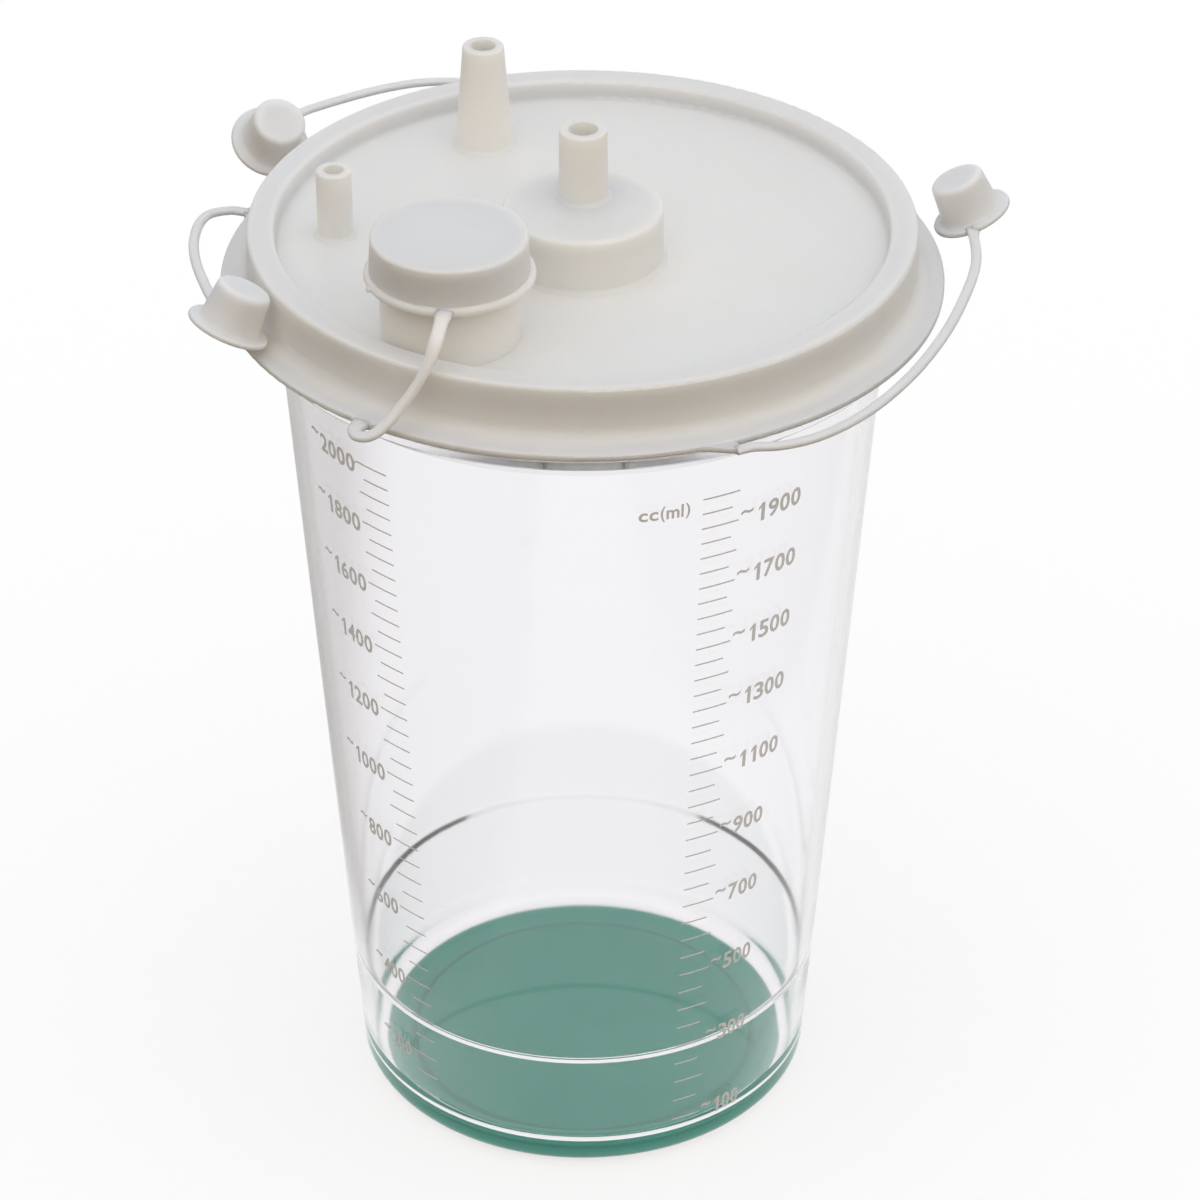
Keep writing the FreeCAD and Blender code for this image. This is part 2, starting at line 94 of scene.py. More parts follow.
def skin(mesh, rings):
    """Closed tube over rings that have as many points each."""
    count = len(rings[0])
    for near, far in zip(rings, rings[1:]):
        for k in range(count):
            n = (k + 1) % count
            mesh.faces.new((near[k], near[n], far[n], far[k]))
    mesh.faces.new(rings[0][::-1])
    mesh.faces.new(rings[-1])


# ---------------------------------------------------------------- materials

def new_material(name):
    """Node material, with its tree and its shader."""
    made = bpy.data.materials.new(name)
    made.use_nodes = True
    tree = made.node_tree
    return made, tree, tree.nodes["Principled BSDF"]


def object_noise(tree, scale, detail=3.0, stretch=(1, 1, 1)):
    """Noise texture in object space."""
    coord = tree.nodes.new("ShaderNodeTexCoord")
    mapping = tree.nodes.new("ShaderNodeMapping")
    mapping.inputs["Scale"].default_value = stretch
    noise = tree.nodes.new("ShaderNodeTexNoise")
    noise.inputs["Scale"].default_value = scale
    noise.inputs["Detail"].default_value = detail
    tree.links.new(coord.outputs["Object"], mapping.inputs["Vector"])
    tree.links.new(mapping.outputs["Vector"], noise.inputs["Vector"])
    return noise


def ramp(tree, source, low, high, first, last):
    """Colour ramp between two colours, driven by a value."""
    made = tree.nodes.new("ShaderNodeValToRGB")
    made.color_ramp.elements[0].position = low
    made.color_ramp.elements[1].position = high
    made.color_ramp.elements[0].color = (*first, 1)
    made.color_ramp.elements[1].color = (*last, 1)
    tree.links.new(source, made.inputs["Fac"])
    return made.outputs["Color"]


def bump(tree, shader, source, distance, strength):
    """Bump from a height value, in metres."""
    made = tree.nodes.new("ShaderNodeBump")
    made.inputs["Distance"].default_value = distance
    made.inputs["Strength"].default_value = strength
    tree.links.new(source, made.inputs["Height"])
    tree.links.new(made.outputs["Normal"], shader.inputs["Normal"])


def soft_plastic(name, first, last, roughness, scatter, radius):
    """Moulded soft plastic: slight clouding, fine skin and light that sinks in.

    The radius is how far each colour sinks in, in metres."""
    made, tree, shader = new_material(name)
    clouds = object_noise(tree, 38)
    tree.links.new(ramp(tree, clouds.outputs["Fac"], 0.3, 0.7, first, last),
                   shader.inputs["Base Color"])
    grain = object_noise(tree, 900, 4)
    bump(tree, shader, grain.outputs["Fac"], 0.00012, 0.35)
    shader.inputs["Roughness"].default_value = roughness
    shader.inputs["Subsurface Weight"].default_value = scatter
    shader.inputs["Subsurface Radius"].default_value = radius
    shader.inputs["Subsurface Scale"].default_value = 1.0
    shader.inputs["IOR"].default_value = 1.5
    return made


LID = soft_plastic("lid_plastic", (0.855, 0.832, 0.785), (0.88, 0.858, 0.815), 0.42, 0.8,
                   (0.007, 0.006, 0.0045))
# Lid plastic for the tethers and port caps, painted lighter than the lid to stand in for the
# brighter light on these thin parts; their stronger scatter is the plastic's own
THIN_PAINTED_LIGHTER = soft_plastic("thin_plastic_painted_lighter", (0.94, 0.93, 0.905), (0.96, 0.95, 0.93), 0.4, 0.85,
                    (0.005, 0.0045, 0.004))
CAGE = soft_plastic("cage_plastic", (0.80, 0.80, 0.78), (0.84, 0.84, 0.82), 0.4, 0.2,
                    (0.003, 0.003, 0.003))


def clear_plastic():
    """Clear moulded plastic with a faint ripple down the wall and slight absorption."""
    made, tree, shader = new_material("clear_plastic")
    shader.inputs["Base Color"].default_value = (0.985, 0.98, 0.995, 1)
    shader.inputs["Transmission Weight"].default_value = 1.0
    shader.inputs["Roughness"].default_value = 0.045
    shader.inputs["IOR"].default_value = 1.5
    ripple = object_noise(tree, 26, 2, (1, 1, 0.25))
    bump(tree, shader, ripple.outputs["Fac"], 0.0004, 0.08)
    depth = tree.nodes.new("ShaderNodeVolumeAbsorption")
    depth.inputs["Color"].default_value = (0.40, 0.37, 0.34, 1)
    depth.inputs["Density"].default_value = 18.0
    tree.links.new(depth.outputs["Volume"], tree.nodes["Material Output"].inputs["Volume"])
    return made


def coating_plastic():
    """Tinted coating, with a soft sheen and a little uneven."""
    made, tree, shader = new_material("coating")
    clouds = object_noise(tree, 60, 4)
    tree.links.new(ramp(tree, clouds.outputs["Fac"], 0.3, 0.75, (0.045, 0.45, 0.35),
                        (0.055, 0.49, 0.385)), shader.inputs["Base Color"])
    shader.inputs["Roughness"].default_value = 0.4
    shader.inputs["Specular IOR Level"].default_value = 0.1
    shader.inputs["IOR"].default_value = 1.5
    wave = object_noise(tree, 120, 2)
    bump(tree, shader, wave.outputs["Fac"], 0.0002, 0.3)
    return made


def rubber():
    """Dark rubber."""
    made, tree, shader = new_material("seal_rubber")
    grain = object_noise(tree, 700, 2)
    tree.links.new(ramp(tree, grain.outputs["Fac"], 0.3, 0.7, (0.045, 0.047, 0.052),
                        (0.06, 0.062, 0.068)), shader.inputs["Base Color"])
    shader.inputs["Roughness"].default_value = 0.55
    return made


def ink():
    """Pale screen printing ink, slightly uneven in cover."""
    made, tree, shader = new_material("scale_ink")
    cover = object_noise(tree, 1500, 3)
    tree.links.new(ramp(tree, cover.outputs["Fac"], 0.35, 0.7, (0.90, 0.93, 0.965),
                        (0.94, 0.96, 0.985)), shader.inputs["Base Color"])
    shader.inputs["Roughness"].default_value = 0.5
    return made


JAR = clear_plastic()
COATING = coating_plastic()
SEAL = rubber()
INK = ink()

FINISH = {
    "jar": JAR,
    "lid": LID,
    "pour_cap": LID,
    "float_cage": CAGE,
    "valve_float": CAGE,
    "float_seal": SEAL,
}
for name, finish in FINISH.items():
    for material_slot in nodes[name].material_slots:
        material_slot.material = finish
nodes["jar"].visible_shadow = False


# ------------------------------------------------------------ printed scale

INK_LIFT = 0.04              # ink's inner face above the wall
INK_T = 0.05
INK_TOP = INK_LIFT + INK_T
FULL_ML = 2000
MARK_ML = 50                 # volume between two marks
LOW_ML = 100
MARK_W = 0.34
SCALE_R = 51.3               # inner radius that the scale's spacing follows
SCALE_LOW = 11.8             # height of the lowest mark
RIGHT_AZ = -67.4             # left ends of the right marks
LEFT_AZ = -129.1             # right ends of the left marks
LONG_ARC = 7.6
SHORT_ARC = 6.15
HOOK = ((0.7, 0.35), (1.2, 1.4))   # arcs and drops by which the top left mark turns down
DIGIT_H = 4.6
DIGIT_ARC = 2.85
DIGIT_FILL = 0.88            # share of its arc that a digit fills
ONE_SHARE = 0.56             # width of a 1 beside the other digits
LETTER_WEIGHT = 0.02         # how much bolder than the plain font the letters are
TILDE_ARC = 2.7
TILDE_H = 1.1
TILDE_RISE = 0.9
TILDE_GAP = 0.75
LABEL_GAP = 0.55
LABEL_DROP = 1.2             # how far the left labels sit below their marks
UNIT_AZ = -79.8
UNIT_Z = 184.6
UNIT = (                     # azimuth from the left, arc, letter, rise, height
    (0, 1.75, "c", 0.0, 2.3),
    (2.0, 1.75, "c", 0.0, 2.3),
    (4.15, 0.9, "(", -0.6, 4.0),
    (5.25, 2.5, "m", 0.0, 2.3),
    (8.1, 0.45, "l", 0.0, 3.3),
    (8.95, 0.9, ")", -0.6, 4.0),
)


def mark_z(millilitres):
    """Height of a mark, from the volume of a drafted jar."""
    start = SCALE_R + JAR_DRAFT * SCALE_LOW
    cube = start ** 3 + 3 * JAR_DRAFT / math.pi * (millilitres - LOW_ML) * 1000
    return (cube ** (1 / 3) - SCALE_R) / JAR_DRAFT


def on_wall(azimuth, z, lift):
    """Point of the print on the jar's wall."""
    return polar(wall_r(z) + lift, azimuth, z)


def ribbon(mesh, line, width):
    """Thin closed strip of ink along points given as azimuth and height."""
    rings = []
    for i, (azimuth, z) in enumerate(line):
        before = line[max(i - 1, 0)]
        after = line[min(i + 1, len(line) - 1)]
        reach = math.radians(1) * wall_r(z)
        along = Vector(((after[0] - before[0]) * reach, after[1] - before[1])).normalized()
        side = Vector((-along.y, along.x)) * (width / 2)
        ring = []
        for sign, lift in ((-1, INK_LIFT), (1, INK_LIFT), (1, INK_TOP), (-1, INK_TOP)):
            place = on_wall(azimuth + sign * side.x / reach, z + sign * side.y, lift)
            ring.append(mesh.verts.new(place))
        rings.append(ring)
    skin(mesh, rings)


def arc_line(first, last, z, steps=5):
    """Level line on the wall between two azimuths."""
    return [(first + (last - first) * i / steps, z) for i in range(steps + 1)]


def glyph(letter):
    """Points and faces of a solid letter that is 1 wide, 1 high and 1 thick."""
    curve = bpy.data.curves.new("glyph", "FONT")
    curve.body = letter
    curve.extrude = 0.01
    curve.offset = LETTER_WEIGHT
    curve.resolution_u = 3
    holder = bpy.data.objects.new("glyph", curve)
    scene.collection.objects.link(holder)
    bpy.context.view_layer.update()
    mesh = bpy.data.meshes.new_from_object(holder)
    points = [vertex.co.copy() for vertex in mesh.vertices]
    faces = [tuple(polygon.vertices) for polygon in mesh.polygons]
    bpy.data.objects.remove(holder)
    bpy.data.curves.remove(curve)
    bpy.data.meshes.remove(mesh)
    low = [min(point[k] for point in points) for k in range(3)]
    high = [max(point[k] for point in points) for k in range(3)]
    for point in points:
        for k in range(3):
            point[k] = (point[k] - low[k]) / (high[k] - low[k])
    return points, faces


def flagged_one():
    """Solid 1 with a short flag, in the same form as the other letters."""
    outline = [(0.45, 0), (1, 0), (1, 1), (0.62, 1), (0, 0.78), (0, 0.64), (0.45, 0.78)]
    count = len(outline)
    points = [Vector((x, y, z)) for z in (0, 1) for x, y in outline]
    caps = [(0, 1, 2, 3, 6), (3, 4, 5, 6)]
    faces = [tuple(k + count for k in cap) for cap in caps] + [cap[::-1] for cap in caps]
    for k in range(count):
        n = (k + 1) % count
        faces.append((k, n, n + count, k + count))
    return points, faces


GLYPHS = {letter: glyph(letter) for letter in "023456789~cml()"}
GLYPHS["1"] = flagged_one()


def stamp(mesh, letter, azimuth, arc, z, height):
    """Puts one letter on the wall, from its left azimuth and lowest height."""
    points, faces = GLYPHS[letter]
    made = []
    for point in points:
        made.append(mesh.verts.new(on_wall(azimuth + point.x * arc, z + point.y * height,
                                           INK_LIFT + point.z * INK_T)))
    for face in faces:
        mesh.faces.new([made[k] for k in face])


def label(mesh, number, azimuth, z):
    """Number centred on a height, from the azimuth of its first digit."""
    for i, letter in enumerate(str(number)):
        share = ONE_SHARE if letter == "1" else 1.0
        arc = DIGIT_ARC * DIGIT_FILL
        left = azimuth + i * DIGIT_ARC + arc * (1 - share) / 2
        stamp(mesh, letter, left, arc * share, z - DIGIT_H / 2, DIGIT_H)


def print_scale():
    """Both columns of marks with their numbers, and the unit."""
    mesh = bmesh.new()
    for millilitres in range(LOW_ML, FULL_ML + 1, MARK_ML):
        z = mark_z(millilitres)
        whole = millilitres % (2 * MARK_ML) == 0
        arc = LONG_ARC if whole else SHORT_ARC
        ribbon(mesh, arc_line(RIGHT_AZ, RIGHT_AZ + arc, z), MARK_W)
        left_line = arc_line(LEFT_AZ, LEFT_AZ - arc, z)
        if millilitres == FULL_ML:
            left_line += [(LEFT_AZ - arc - turn, z - drop) for turn, drop in HOOK]
        ribbon(mesh, left_line, MARK_W)
        if not whole:
            continue
        digits = len(str(millilitres)) * DIGIT_ARC
        if millilitres % (4 * MARK_ML):
            start = RIGHT_AZ + LONG_ARC + LABEL_GAP
            stamp(mesh, "~", start, TILDE_ARC, z + TILDE_RISE, TILDE_H)
            label(mesh, millilitres, start + TILDE_ARC + TILDE_GAP, z)
        else:
            start = LEFT_AZ - LONG_ARC - LABEL_GAP - digits
            low = z - LABEL_DROP
            label(mesh, millilitres, start, low)
            stamp(mesh, "~", start - TILDE_GAP - TILDE_ARC, TILDE_ARC, low + TILDE_RISE, TILDE_H)
    for start, arc, letter, rise, height in UNIT:
        stamp(mesh, letter, UNIT_AZ + start, arc, UNIT_Z + rise, height)
    bmesh.ops.remove_doubles(mesh, verts=mesh.verts, dist=1e-7)
    return finished("scale_print", mesh, smooth=False)


scale = print_scale()
scale.data.materials.append(INK)
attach(scale, "jar")


# --------------------------------------------------- coating, caps, tethers

LONG_RUN = 1.2               # straight runs longer than this get a ring near each end
END_RING = 0.2               # how near that ring lies to the end


def spun(name, profile, steps):
    """Solid of revolution about +Z from (r, z) points, the first and last on the axis.

    The rings near the ends of a long run keep a corner's shading at the corner."""
    fine = []
    for (r0, z0), (r1, z1) in zip(profile, profile[1:]):
        fine.append((r0, z0))
        reach = math.hypot(r1 - r0, z1 - z0)
        if reach > LONG_RUN:
            for share in (END_RING / reach, 1 - END_RING / reach):
                fine.append((r0 + (r1 - r0) * share, z0 + (z1 - z0) * share))
    fine.append(profile[-1])
    mesh = bmesh.new()
    rings = []
    for r, z in fine:
        if r < 1e-6:
            rings.append([mesh.verts.new((0, 0, z * MM))])
            continue
        rings.append([mesh.verts.new(polar(r, 360 * k / steps, z)) for k in range(steps)])
    for low, high in zip(rings, rings[1:]):
        for k in range(steps):
            n = (k + 1) % steps
            if len(low) == 1:
                mesh.faces.new((low[0], high[n], high[k]))
            elif len(high) == 1:
                mesh.faces.new((low[k], low[n], high[0]))
            else:
                mesh.faces.new((low[k], low[n], high[n], high[k]))
    return finished(name, mesh)


def rounded(points, steps=5):
    """Profile whose corners are rounded, from (r, z) or (r, z, fillet) points."""
    line = []
    last = len(points) - 1
    for i, point in enumerate(points):
        here = Vector(point[:2])
        if len(point) < 3 or i in (0, last):
            line.append(tuple(here))
            continue
        back = (Vector(points[i - 1][:2]) - here).normalized()
        on = (Vector(points[i + 1][:2]) - here).normalized()
        half = back.angle(on) / 2
        run = point[2] / math.tan(half)
        centre = here + (back + on).normalized() * (point[2] / math.sin(half))
        first = here + back * run - centre
        final = here + on * run - centre
        turn = math.copysign(math.pi - 2 * half, first.x * final.y - first.y * final.x)
        for k in range(steps + 1):
            a = turn * k / steps
            line.append((centre.x + first.x * math.cos(a) - first.y * math.sin(a),
                         centre.y + first.x * math.sin(a) + first.y * math.cos(a)))
    return line


# Coating: a disc under the foot that fills its recess. It reaches 3 mm further out than
# in the CAD source, and its upper skin lies just inside the clear plastic.
COAT_T = 0.9
COAT_BITE = 0.15             # how far the upper skin lies inside the clear plastic
COAT_R = 49.0
COAT_ROUND = 0.5
COAT_EDGE = 0.1
COAT_STEPS = 180
FOOT_RECESS = 0.8
FOOT_RECESS_R = 41.0
FOOT_RECESS_ROUND = 0.3

coating = spun("base_coating_skin", rounded([
    (0, COAT_T + FOOT_RECESS + COAT_BITE),
    (FOOT_RECESS_R - FOOT_RECESS, COAT_T + FOOT_RECESS + COAT_BITE, FOOT_RECESS_ROUND),
    (FOOT_RECESS_R + COAT_BITE, COAT_T + COAT_BITE, FOOT_RECESS_ROUND),
    (COAT_R, COAT_T + COAT_BITE, COAT_EDGE),
    (COAT_R, 0, COAT_ROUND),
    (0, 0),
]), COAT_STEPS)
coating.data.materials.append(COATING)
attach(coating, "jar")
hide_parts("base_coating")

# Port caps and tethers, as in the CAD source. Places on and off the flange are given as
# reach past its edge, azimuth and rise. A cap has its brim's centre, its tilt with that
# tilt's azimuth, its tether's route, and the point of the route where the bend ends.
FLANGE_R = 79.0
FLANGE_MID = 208.8
STRAP_W = 2.3
STRAP_T = 1.6
POUR_STRAP_W = 3.0
POUR_STRAP_T = 1.7
STRAP_SIDES = 14
STRAP_SQUARE = 0.75          # 1 for an oval section, less for a squarer one
ROOT_RUN = 4.5               # length over which a strap widens at its root
ROOT_THINNER = 0.15          # share of its thickness that it loses there
END_RUN = 4.0                # length over which it widens at its cap
HAT_BRIM_R = 9.0
HAT_BRIM_T = 1.3
HAT_WALL_R = 5.9
HAT_TOP = 10.4
HAT_ROOF_T = 1.25
HAT_STEPS = 72
CAPS = {
    "port_cap_rear": ((8.6, 144.2, 5.2), (35.0, -58.5),
                      [(3.05, 90.6, 0), (3.0, 92.0, 0), (3.0, 93.2, 0), (6.6, 96.6, 0.1),
                       (12.2, 101.5, 0.3), (16.4, 107.5, 0.7), (16.8, 112.7, 1.9),
                       (15.2, 119.0, 3.4), (12.6, 128.5, 5.4), (10.6, 136.2, 7.2)], 4),
    "port_cap_left": ((4.4, 205.4, 5.9), (26.6, 23.0),
                      [(-0.6, 159.7, 0), (1.6, 159.7, 0), (4.4, 160.0, 0.1), (7.9, 162.4, 0.5),
                       (8.6, 165.4, 0.9), (7.5, 172.0, 1.5), (5.4, 179.7, 2.4),
                       (3.5, 188.5, 3.8), (3.2, 195.0, 5.4)], 4),
    "port_cap_right": ((11.1, 15.2, 1.2), (24.3, 175.0),
                       [(3.05, -67.4, 0), (3.0, -66.0, 0), (3.1, -64.8, 0), (5.4, -61.4, 0.2),
                        (6.9, -56.0, 0.4), (6.4, -47.5, 0.6), (4.6, -36.0, 0.8),
                        (3.6, -23.0, 1.0), (4.4, -11.0, 1.2), (7.1, 1.0, 1.6)], 5),
}
SPOUT = (-27.7, -42.0)       # the spout's axis
BEAD_R = 17.1                # radius and height of the pouring cap's bead
BEAD_Z = 232.0
POUR_ROUTE = [(-0.6, -125.3, 0), (1.55, -125.3, 0), (3.3, -125.0, 0), (5.0, -123.4, 0.2),
              (4.7, -121.6, 0.9), (2.3, -120.0, 3.0), (-0.2, -118.5, 6.4),
              (-2.4, -116.8, 10.6), (-4.3, -115.3, 15.4)]
POUR_END = [(6.9, -96.0, -3.5), (2.9, -94.0, -1.0), (0.2, -92.5, 0.3)]


def at_flange(reach, azimuth, rise):
    """Point in metres by its reach past the flange edge, azimuth and height."""
    return polar(FLANGE_R + reach, azimuth, FLANGE_MID + rise)


def through(points, each=7):
    """Smooth line through points, with its samples evenly spread between them."""
    ends = [points[0] * 2 - points[1]] + points + [points[-1] * 2 - points[-2]]
    line = []
    for i in range(1, len(ends) - 2):
        four = ends[i - 1:i + 3]
        knots = [0.0]
        for a, b in zip(four, four[1:]):
            knots.append(knots[-1] + max((b - a).length, 1e-6) ** 0.5)
        for k in range(each):
            t = knots[1] + (knots[2] - knots[1]) * k / each
            level = list(four)
            for order in (1, 2, 3):
                for n in range(4 - order):
                    lo, hi = (1, 2) if order == 3 else (n, n + order)
                    share = (t - knots[lo]) / (knots[hi] - knots[lo])
                    level[n] = level[n] * (1 - share) + level[n + 1] * share
            line.append(level[0])
    line.append(points[-1])
    return line


def squarer(value):
    """Sine or cosine pulled outward, for a section between an oval and a box."""
    return math.copysign(abs(value) ** STRAP_SQUARE, value)


def tether(name, points, width, thick, root_flare, end_flare):
    """Moulded tether: a rounded strap swept along a smooth line, wider at both ends."""
    line = through(points)
    run = [0.0]
    for a, b in zip(line, line[1:]):
        run.append(run[-1] + (b - a).length)
    mesh = bmesh.new()
    rings = []
    for i, centre in enumerate(line):
        along = (line[min(i + 1, len(line) - 1)] - line[max(i - 1, 0)]).normalized()
        across = along.cross(Vector((0, 0, 1))).normalized()
        normal = across.cross(along)
        near_root = max(0.0, 1 - run[i] / (ROOT_RUN * MM)) ** 2
        near_end = max(0.0, 1 - (run[-1] - run[i]) / (END_RUN * MM)) ** 2
        half_w = width * MM / 2 * (1 + root_flare * near_root + end_flare * near_end)
        half_t = thick * MM / 2 * (1 - ROOT_THINNER * near_root)
        ring = []
        for k in range(STRAP_SIDES):
            a = 2 * math.pi * k / STRAP_SIDES
            ring.append(mesh.verts.new(centre + across * (half_w * squarer(math.cos(a)))
                                       + normal * (half_t * squarer(math.sin(a)))))
        rings.append(ring)
    skin(mesh, rings)
    piece = finished(name, mesh)
    piece.data.materials.append(THIN_PAINTED_LIGHTER)
    # the tether takes the lid plastic painted lighter, as painted light
    return piece


HAT = rounded([
    (0, HAT_TOP - HAT_ROOF_T),
    (4.6, HAT_TOP - HAT_ROOF_T, 0.6),
    (5.5, 0.0, 0.25),
    (HAT_BRIM_R - 0.05, 0.0, 0.5),
    (HAT_BRIM_R, HAT_BRIM_T, 0.55),
    (6.75, HAT_BRIM_T, 0.9),
    (HAT_WALL_R, HAT_TOP, 1.2),
    (0, HAT_TOP),
])

for cap, (place, lean, route, bend) in CAPS.items():
    crown = spun(cap + "_crown", HAT, HAT_STEPS)
    centre = at_flange(*place)
    tilt = math.radians(lean[0])
    axis = polar(1000, lean[1] + 90, 0)
    crown.data.transform(Matrix.Translation(centre) @ Matrix.Rotation(tilt, 4, axis))
    # the crown takes the lid plastic painted lighter, as painted light
    crown.data.materials.append(THIN_PAINTED_LIGHTER)
    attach(crown, cap)
    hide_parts(cap)
    points = [at_flange(*stop) for stop in route]
    normal = polar(1000 * math.sin(tilt), lean[1], 1000 * math.cos(tilt))
    inward = points[-1] - centre
    inward = (inward - normal * inward.dot(normal)).normalized()
    points.append(centre + (inward * (HAT_BRIM_R - HAT_BRIM_T) + normal * (HAT_BRIM_T / 2)) * MM)
    strap = tether(cap + "_tether", points, STRAP_W, STRAP_T, 0.25, 0.5)
    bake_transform(strap)

points = [at_flange(*stop) for stop in POUR_ROUTE]
spout = Vector((*SPOUT, 0)) * MM
for reach, azimuth, rise in POUR_END:
    points.append(spout + polar(BEAD_R + reach, azimuth, BEAD_Z + rise))
strap = tether("pour_tether", points, POUR_STRAP_W, POUR_STRAP_T, 0.9, 0.45)
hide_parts("pour_cap_tether")
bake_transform(strap)


# ------------------------------------------------------------------- stage

PITCH = -32.796
YAW = 0.242
ROLL = 0.060
FOCAL = 4795.284 / 1200      # focal length over the picture's width
SENSOR = 36.0
CAMERA_AT = (0.0, -0.920042, 0.716421)    # metres

FLOOR_REACH = 6.0            # metres
FLOOR_GREY = 0.5
FLOOR_GLOW = 0.57            # with the lit grey it makes white
FLOOR_BACK = (0.05, 0.035, 0.02)          # what the floor throws back on the canister
FLOOR_LEFT = (0.68, 0.665, 0.655)         # how it looks through the jar, left of it
WHITE = (1, 1, 1)

SKY_LEFT = (0.62, 0.605, 0.59)            # how the backdrop looks through the jar
SKY_FRONT = (0.72, 0.715, 0.71)
HORIZON = ((0.67, 0.49, 0.27), (0.82, 0.79, 0.745))      # light from the front, the back
SIDES = ((0.94, 0.90, 0.84), (1.14, 1.16, 1.17))         # its share at the left, the right
OVERHEAD = (0.43, 0.48, 0.575)


def camera():
    """Camera at the photograph's place, looking down at the lid."""
    pitch = math.radians(PITCH)
    yaw = math.radians(YAW)
    roll = math.radians(ROLL)
    forward = Vector((math.sin(yaw) * math.cos(pitch), math.cos(yaw) * math.cos(pitch),
                      math.sin(pitch)))
    level = Vector((math.cos(yaw), -math.sin(yaw), 0))
    above = level.cross(forward)
    right = level * math.cos(roll) + above * math.sin(roll)
    up = above * math.cos(roll) - level * math.sin(roll)
    data = bpy.data.cameras.new("camera")
    data.sensor_width = SENSOR
    data.lens = FOCAL * SENSOR
    data.clip_start = 0.05
    data.clip_end = 50
    made = bpy.data.objects.new("camera", data)
    made.matrix_world = Matrix((
        (right.x, up.x, -forward.x, CAMERA_AT[0]),
        (right.y, up.y, -forward.y, CAMERA_AT[1]),
        (right.z, up.z, -forward.z, CAMERA_AT[2]),
        (0, 0, 0, 1),
    ))
    scene.collection.objects.link(made)
    scene.camera = made


def axes(tree, kind):
    """The three coordinates of one kind, as sockets."""
    coord = tree.nodes.new("ShaderNodeTexCoord")
    split = tree.nodes.new("ShaderNodeSeparateXYZ")
    tree.links.new(coord.outputs[kind], split.inputs[0])
    return [split.outputs[k] for k in range(3)]


def wide(tree, source, low, high, first, last):
    """Colour between two colours, as a value of either sign runs from low to high."""
    reach = tree.nodes.new("ShaderNodeMapRange")
    reach.interpolation_type = "SMOOTHSTEP"
    reach.inputs["From Min"].default_value = low
    reach.inputs["From Max"].default_value = high
    tree.links.new(source, reach.inputs["Value"])
    return ramp(tree, reach.outputs["Result"], 0.0, 1.0, first, last)


def times(tree, first, second):
    """Product of two colours."""
    made = tree.nodes.new("ShaderNodeMix")
    made.data_type = "RGBA"
    made.blend_type = "MULTIPLY"
    made.inputs[0].default_value = 1.0
    tree.links.new(first, made.inputs[6])
    tree.links.new(second, made.inputs[7])
    return made.outputs[2]


def chosen(tree, shaders, out):
    """Shader for camera rays, for glossy and transmitted rays, and for the rest."""
    path = tree.nodes.new("ShaderNodeLightPath")
    either = tree.nodes.new("ShaderNodeMath")
    either.operation = "MAXIMUM"
    tree.links.new(path.outputs["Is Glossy Ray"], either.inputs[0])
    tree.links.new(path.outputs["Is Transmission Ray"], either.inputs[1])
    seen, bent, light = shaders
    inner = tree.nodes.new("ShaderNodeMixShader")
    tree.links.new(either.outputs[0], inner.inputs[0])
    tree.links.new(light, inner.inputs[1])
    tree.links.new(bent, inner.inputs[2])
    outer = tree.nodes.new("ShaderNodeMixShader")
    tree.links.new(path.outputs["Is Camera Ray"], outer.inputs[0])
    tree.links.new(inner.outputs[0], outer.inputs[1])
    tree.links.new(seen, outer.inputs[2])
    tree.links.new(outer.outputs[0], out.inputs["Surface"])


def glow(tree, strength, colour=None):
    """Emission in white, or in the colour of a socket."""
    made = tree.nodes.new("ShaderNodeEmission")
    made.inputs["Strength"].default_value = strength
    if colour is not None:
        tree.links.new(colour, made.inputs["Color"])
    return made.outputs[0]


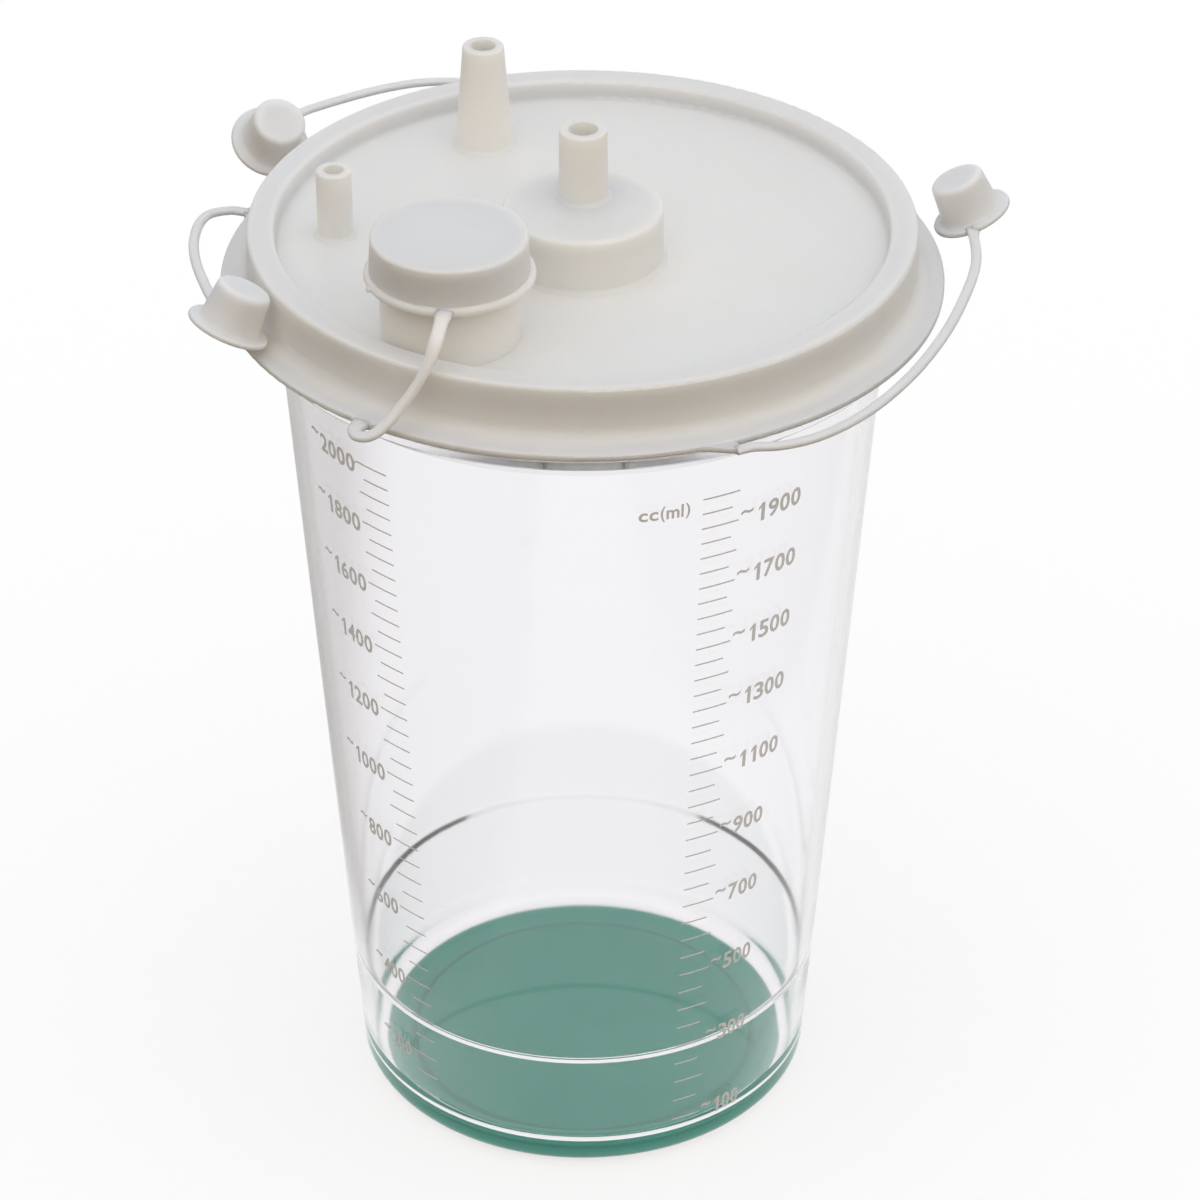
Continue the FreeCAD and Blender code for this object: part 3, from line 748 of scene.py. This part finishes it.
def floor():
    """Plain pale floor that keeps the canister's shadow.

    Seen through the jar it is white, and greyer to the left of it, like the edge of a
    lit backdrop."""
    reach = FLOOR_REACH
    data = bpy.data.meshes.new("floor")
    data.from_pydata([(-reach, -reach, 0), (reach, -reach, 0), (reach, reach, 0),
                      (-reach, reach, 0)], [], [(0, 1, 2, 3)])
    made = bpy.data.objects.new("floor", data)
    scene.collection.objects.link(made)
    material, tree, shader = new_material("floor")
    shader.inputs["Base Color"].default_value = (FLOOR_GREY, FLOOR_GREY, FLOOR_GREY, 1)
    shader.inputs["Roughness"].default_value = 0.9
    shader.inputs["Specular IOR Level"].default_value = 0.0
    both = tree.nodes.new("ShaderNodeAddShader")
    tree.links.new(shader.outputs[0], both.inputs[0])
    tree.links.new(glow(tree, FLOOR_GLOW), both.inputs[1])
    x, _, _ = axes(tree, "Object")
    bent = glow(tree, 1.0, wide(tree, x, -0.10, -0.06, FLOOR_LEFT, WHITE))
    dim = tree.nodes.new("ShaderNodeBsdfDiffuse")
    dim.inputs["Color"].default_value = (*FLOOR_BACK, 1)
    chosen(tree, (both.outputs[0], bent, dim.outputs[0]), tree.nodes["Material Output"])
    data.materials.append(material)


def world():
    """White backdrop, and soft light that is warm from the front and cool from above."""
    made = bpy.data.worlds.new("studio")
    scene.world = made
    made.use_nodes = True
    tree = made.node_tree
    x, y, z = axes(tree, "Generated")

    white = tree.nodes.new("ShaderNodeBackground")
    white.inputs["Color"].default_value = (*WHITE, 1)

    bent = tree.nodes.new("ShaderNodeBackground")
    left = wide(tree, x, -0.9, -0.15, SKY_LEFT, WHITE)
    front = wide(tree, y, -0.7, 0.3, SKY_FRONT, WHITE)
    tree.links.new(times(tree, left, front), bent.inputs["Color"])

    light = tree.nodes.new("ShaderNodeBackground")
    around = times(tree, wide(tree, y, -0.9, 0.4, *HORIZON), wide(tree, x, -0.8, 0.8, *SIDES))
    sky = tree.nodes.new("ShaderNodeMix")
    sky.data_type = "RGBA"
    tree.links.new(wide(tree, z, 0.1, 0.8, (0, 0, 0), WHITE), sky.inputs[0])
    tree.links.new(around, sky.inputs[6])
    sky.inputs[7].default_value = (*OVERHEAD, 1)
    tree.links.new(sky.outputs[2], light.inputs["Color"])
    chosen(tree, (white.outputs[0], bent.outputs[0], light.outputs[0]),
           tree.nodes["World Output"])


def sun(name, azimuth, elevation, strength, spread, color):
    """Soft distant lamp that shines from an azimuth and elevation."""
    data = bpy.data.lights.new(name, "SUN")
    data.energy = strength
    data.angle = math.radians(spread)
    data.color = color
    made = bpy.data.objects.new(name, data)
    made.rotation_mode = "QUATERNION"
    a = math.radians(azimuth)
    e = math.radians(elevation)
    away = Vector((math.cos(a) * math.cos(e), math.sin(a) * math.cos(e), math.sin(e)))
    made.rotation_quaternion = away.to_track_quat("Z", "Y")
    scene.collection.objects.link(made)


camera()
floor()
world()
sun("key", -80, 66, 1.22, 100, (1.0, 0.945, 0.86))
scene.view_settings.view_transform = "Standard"
